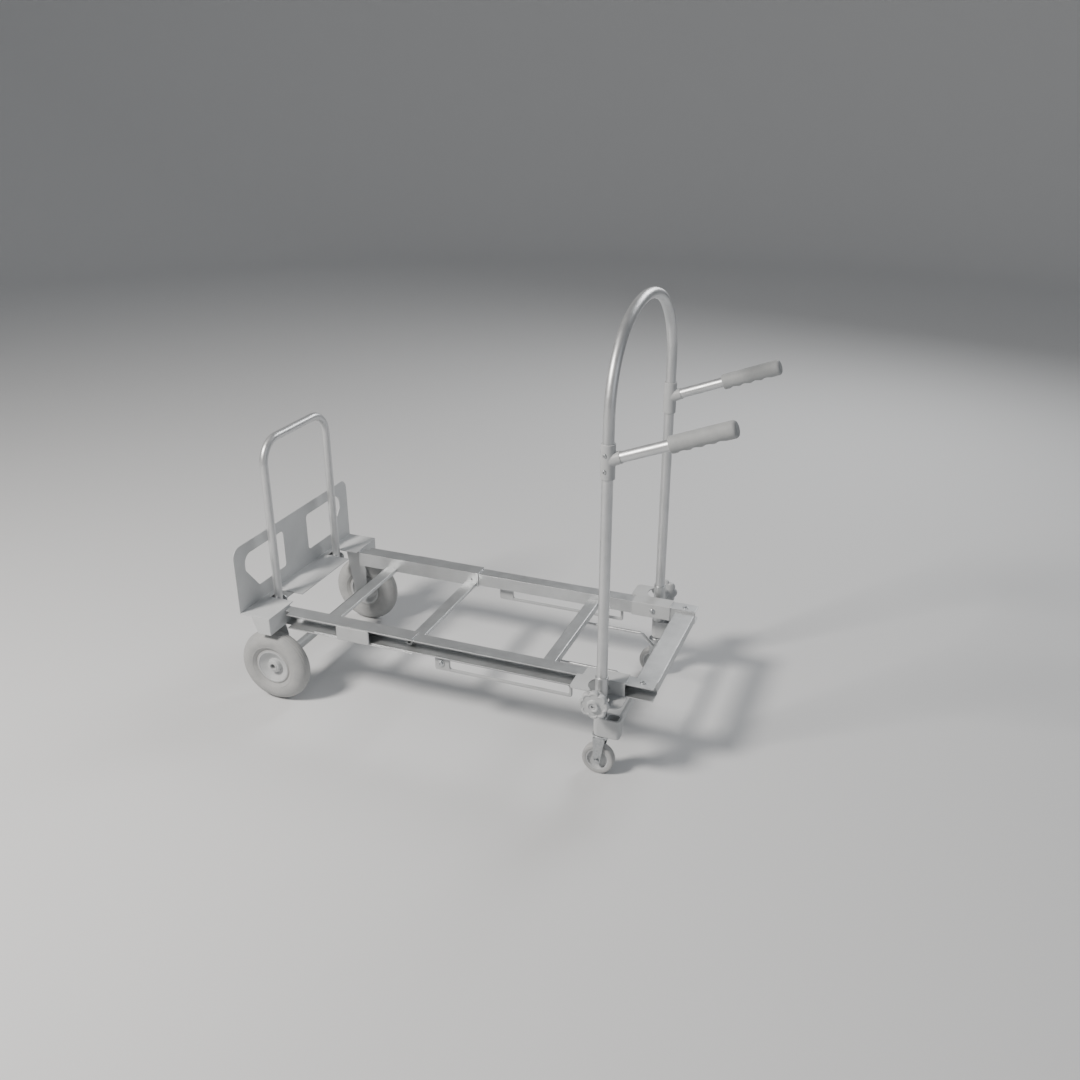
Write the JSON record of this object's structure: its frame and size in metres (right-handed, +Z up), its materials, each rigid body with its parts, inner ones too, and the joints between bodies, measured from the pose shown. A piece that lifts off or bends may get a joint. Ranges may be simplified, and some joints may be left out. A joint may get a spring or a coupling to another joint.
{
  "type": "convertible platform hand truck",
  "caption": "Convertible hand truck in its four-wheel platform position: telescoping channel frame, upright nose plate, fold-flat backstop loop and folding tube handle on swivel casters.",
  "frame": {"origin": "on the ground under the middle of the bounding box", "axes": "+X from the nose plate to the grips, +Y to the left, +Z up"},
  "size_m": [1.2871, 0.638, 1.1141],
  "materials": {
    "rail_aluminium": "satin anodised channel",
    "nose_aluminium": "satin folded plate",
    "tube_aluminium": "satin anodised tube",
    "sleeve_aluminium": "satin tube sleeve",
    "bright_zinc": "bright zinc plated",
    "bracket_steel": "light grey powder coat",
    "fork_steel": "bright zinc plated pressing",
    "axle_steel": "light grey powder coat",
    "rod_chrome": "polished plated rod",
    "hub_nylon": "grey moulded nylon",
    "cap_nylon": "grey moulded cap",
    "rim_nylon": "light grey moulded nylon",
    "rail_pad": "grey moulded pad",
    "skid_nylon": "grey moulded skid",
    "cup_nylon": "grey moulded cup",
    "tee_nylon": "grey moulded sleeve",
    "knob_nylon": "grey moulded knob",
    "grip_vinyl": "soft pebbled grip",
    "tyre_rubber": "non-marking grey rubber",
    "caster_tread": "grey non-marking tread"
  },
  "bodies": {
    "base": {"outer_rail_left": "rail_aluminium", "outer_rail_right": "rail_aluminium", "nose_plate": "nose_aluminium", "front_beam": "nose_aluminium", "loop_ears": "bright_zinc", "loop_pins": "bright_zinc", "outer_crossbars": "rail_aluminium", "wheel_guard_left": "nose_aluminium", "wheel_guard_right": "nose_aluminium", "axle_plate_left": "bracket_steel", "axle_plate_right": "bracket_steel", "axle": "axle_steel", "axle_collars": "hub_nylon", "axle_caps": "cap_nylon", "rail_covers": "rail_pad"},
    "wheel_left": {"wheel_rim_left": "rim_nylon", "tyre_left": "tyre_rubber"},
    "wheel_right": {"wheel_rim_right": "rim_nylon", "tyre_right": "tyre_rubber"},
    "loop": {"backstop_loop": "tube_aluminium"},
    "slider": {"inner_rail_left": "rail_aluminium", "inner_rail_right": "rail_aluminium", "rail_eyelets": "bright_zinc", "lock_bosses": "hub_nylon", "crossbeam": "rail_aluminium", "inner_crossbar": "rail_aluminium", "carriage_left": "bracket_steel", "carriage_right": "bracket_steel", "pivot_bosses": "hub_nylon", "pivot_bolts": "bright_zinc", "skid_left": "skid_nylon", "skid_right": "skid_nylon", "skid_bolts": "bright_zinc", "catch_rods": "rod_chrome"},
    "handle": {"handle_tube": "tube_aluminium", "socket_sleeve_left": "sleeve_aluminium", "socket_sleeve_right": "sleeve_aluminium", "caster_cup_left": "cup_nylon", "caster_cup_right": "cup_nylon", "caster_strap": "bracket_steel", "tee_sleeve_left": "tee_nylon", "tee_sleeve_right": "tee_nylon", "tee_screws": "bright_zinc", "grip_arm_left": "tube_aluminium", "grip_arm_right": "tube_aluminium", "grip_left": "grip_vinyl", "grip_right": "grip_vinyl", "caster_mount_left": "bright_zinc", "caster_mount_right": "bright_zinc"},
    "knob_left": {"knob_left": "knob_nylon"},
    "knob_right": {"knob_right": "knob_nylon"},
    "fork_left": {"caster_fork_left": "fork_steel", "caster_axle_left": "bright_zinc"},
    "fork_right": {"caster_fork_right": "fork_steel", "caster_axle_right": "bright_zinc"},
    "caster_left": {"caster_core_left": "rim_nylon", "caster_tread_left": "caster_tread"},
    "caster_right": {"caster_core_right": "rim_nylon", "caster_tread_right": "caster_tread"}
  },
  "joints": [
    {"name": "wheel_left_spin", "type": "hinge", "parent": "base", "child": "wheel_left", "pos_m": [-0.543, 0.242, 0.1], "axis": [0, 1, 0], "continuous": true},
    {"name": "wheel_right_spin", "type": "hinge", "parent": "base", "child": "wheel_right", "pos_m": [-0.543, -0.242, 0.1], "axis": [0, 1, 0], "continuous": true},
    {"name": "backstop_fold", "type": "hinge", "parent": "base", "child": "loop", "pos_m": [-0.583, 0, 0.232], "axis": [0, 1, 0], "range_deg": [0, 90]},
    {"name": "frame_slide", "type": "slide", "parent": "base", "child": "slider", "axis": [1, 0, 0], "range_m": [-0.05, 0.15]},
    {"name": "handle_fold", "type": "hinge", "parent": "slider", "child": "handle", "pos_m": [0.372, 0, 0.227], "axis": [0, 1, 0], "range_deg": [0, 90]},
    {"name": "knob_left_turn", "type": "hinge", "parent": "slider", "child": "knob_left", "pos_m": [0.372, 0.3, 0.227], "axis": [0, 1, 0], "continuous": true},
    {"name": "knob_right_turn", "type": "hinge", "parent": "slider", "child": "knob_right", "pos_m": [0.372, -0.3, 0.227], "axis": [0, 1, 0], "continuous": true},
    {"name": "caster_left_swivel", "type": "hinge", "parent": "handle", "child": "fork_left", "pos_m": [0.372, 0.245, 0.104], "axis": [0, 0, 1], "continuous": true},
    {"name": "caster_right_swivel", "type": "hinge", "parent": "handle", "child": "fork_right", "pos_m": [0.372, -0.245, 0.104], "axis": [0, 0, 1], "continuous": true},
    {"name": "caster_left_roll", "type": "hinge", "parent": "fork_left", "child": "caster_left", "pos_m": [0.367, 0.245, 0.04], "axis": [0, 1, 0], "continuous": true},
    {"name": "caster_right_roll", "type": "hinge", "parent": "fork_right", "child": "caster_right", "pos_m": [0.367, -0.245, 0.04], "axis": [0, 1, 0], "continuous": true}
  ]
}
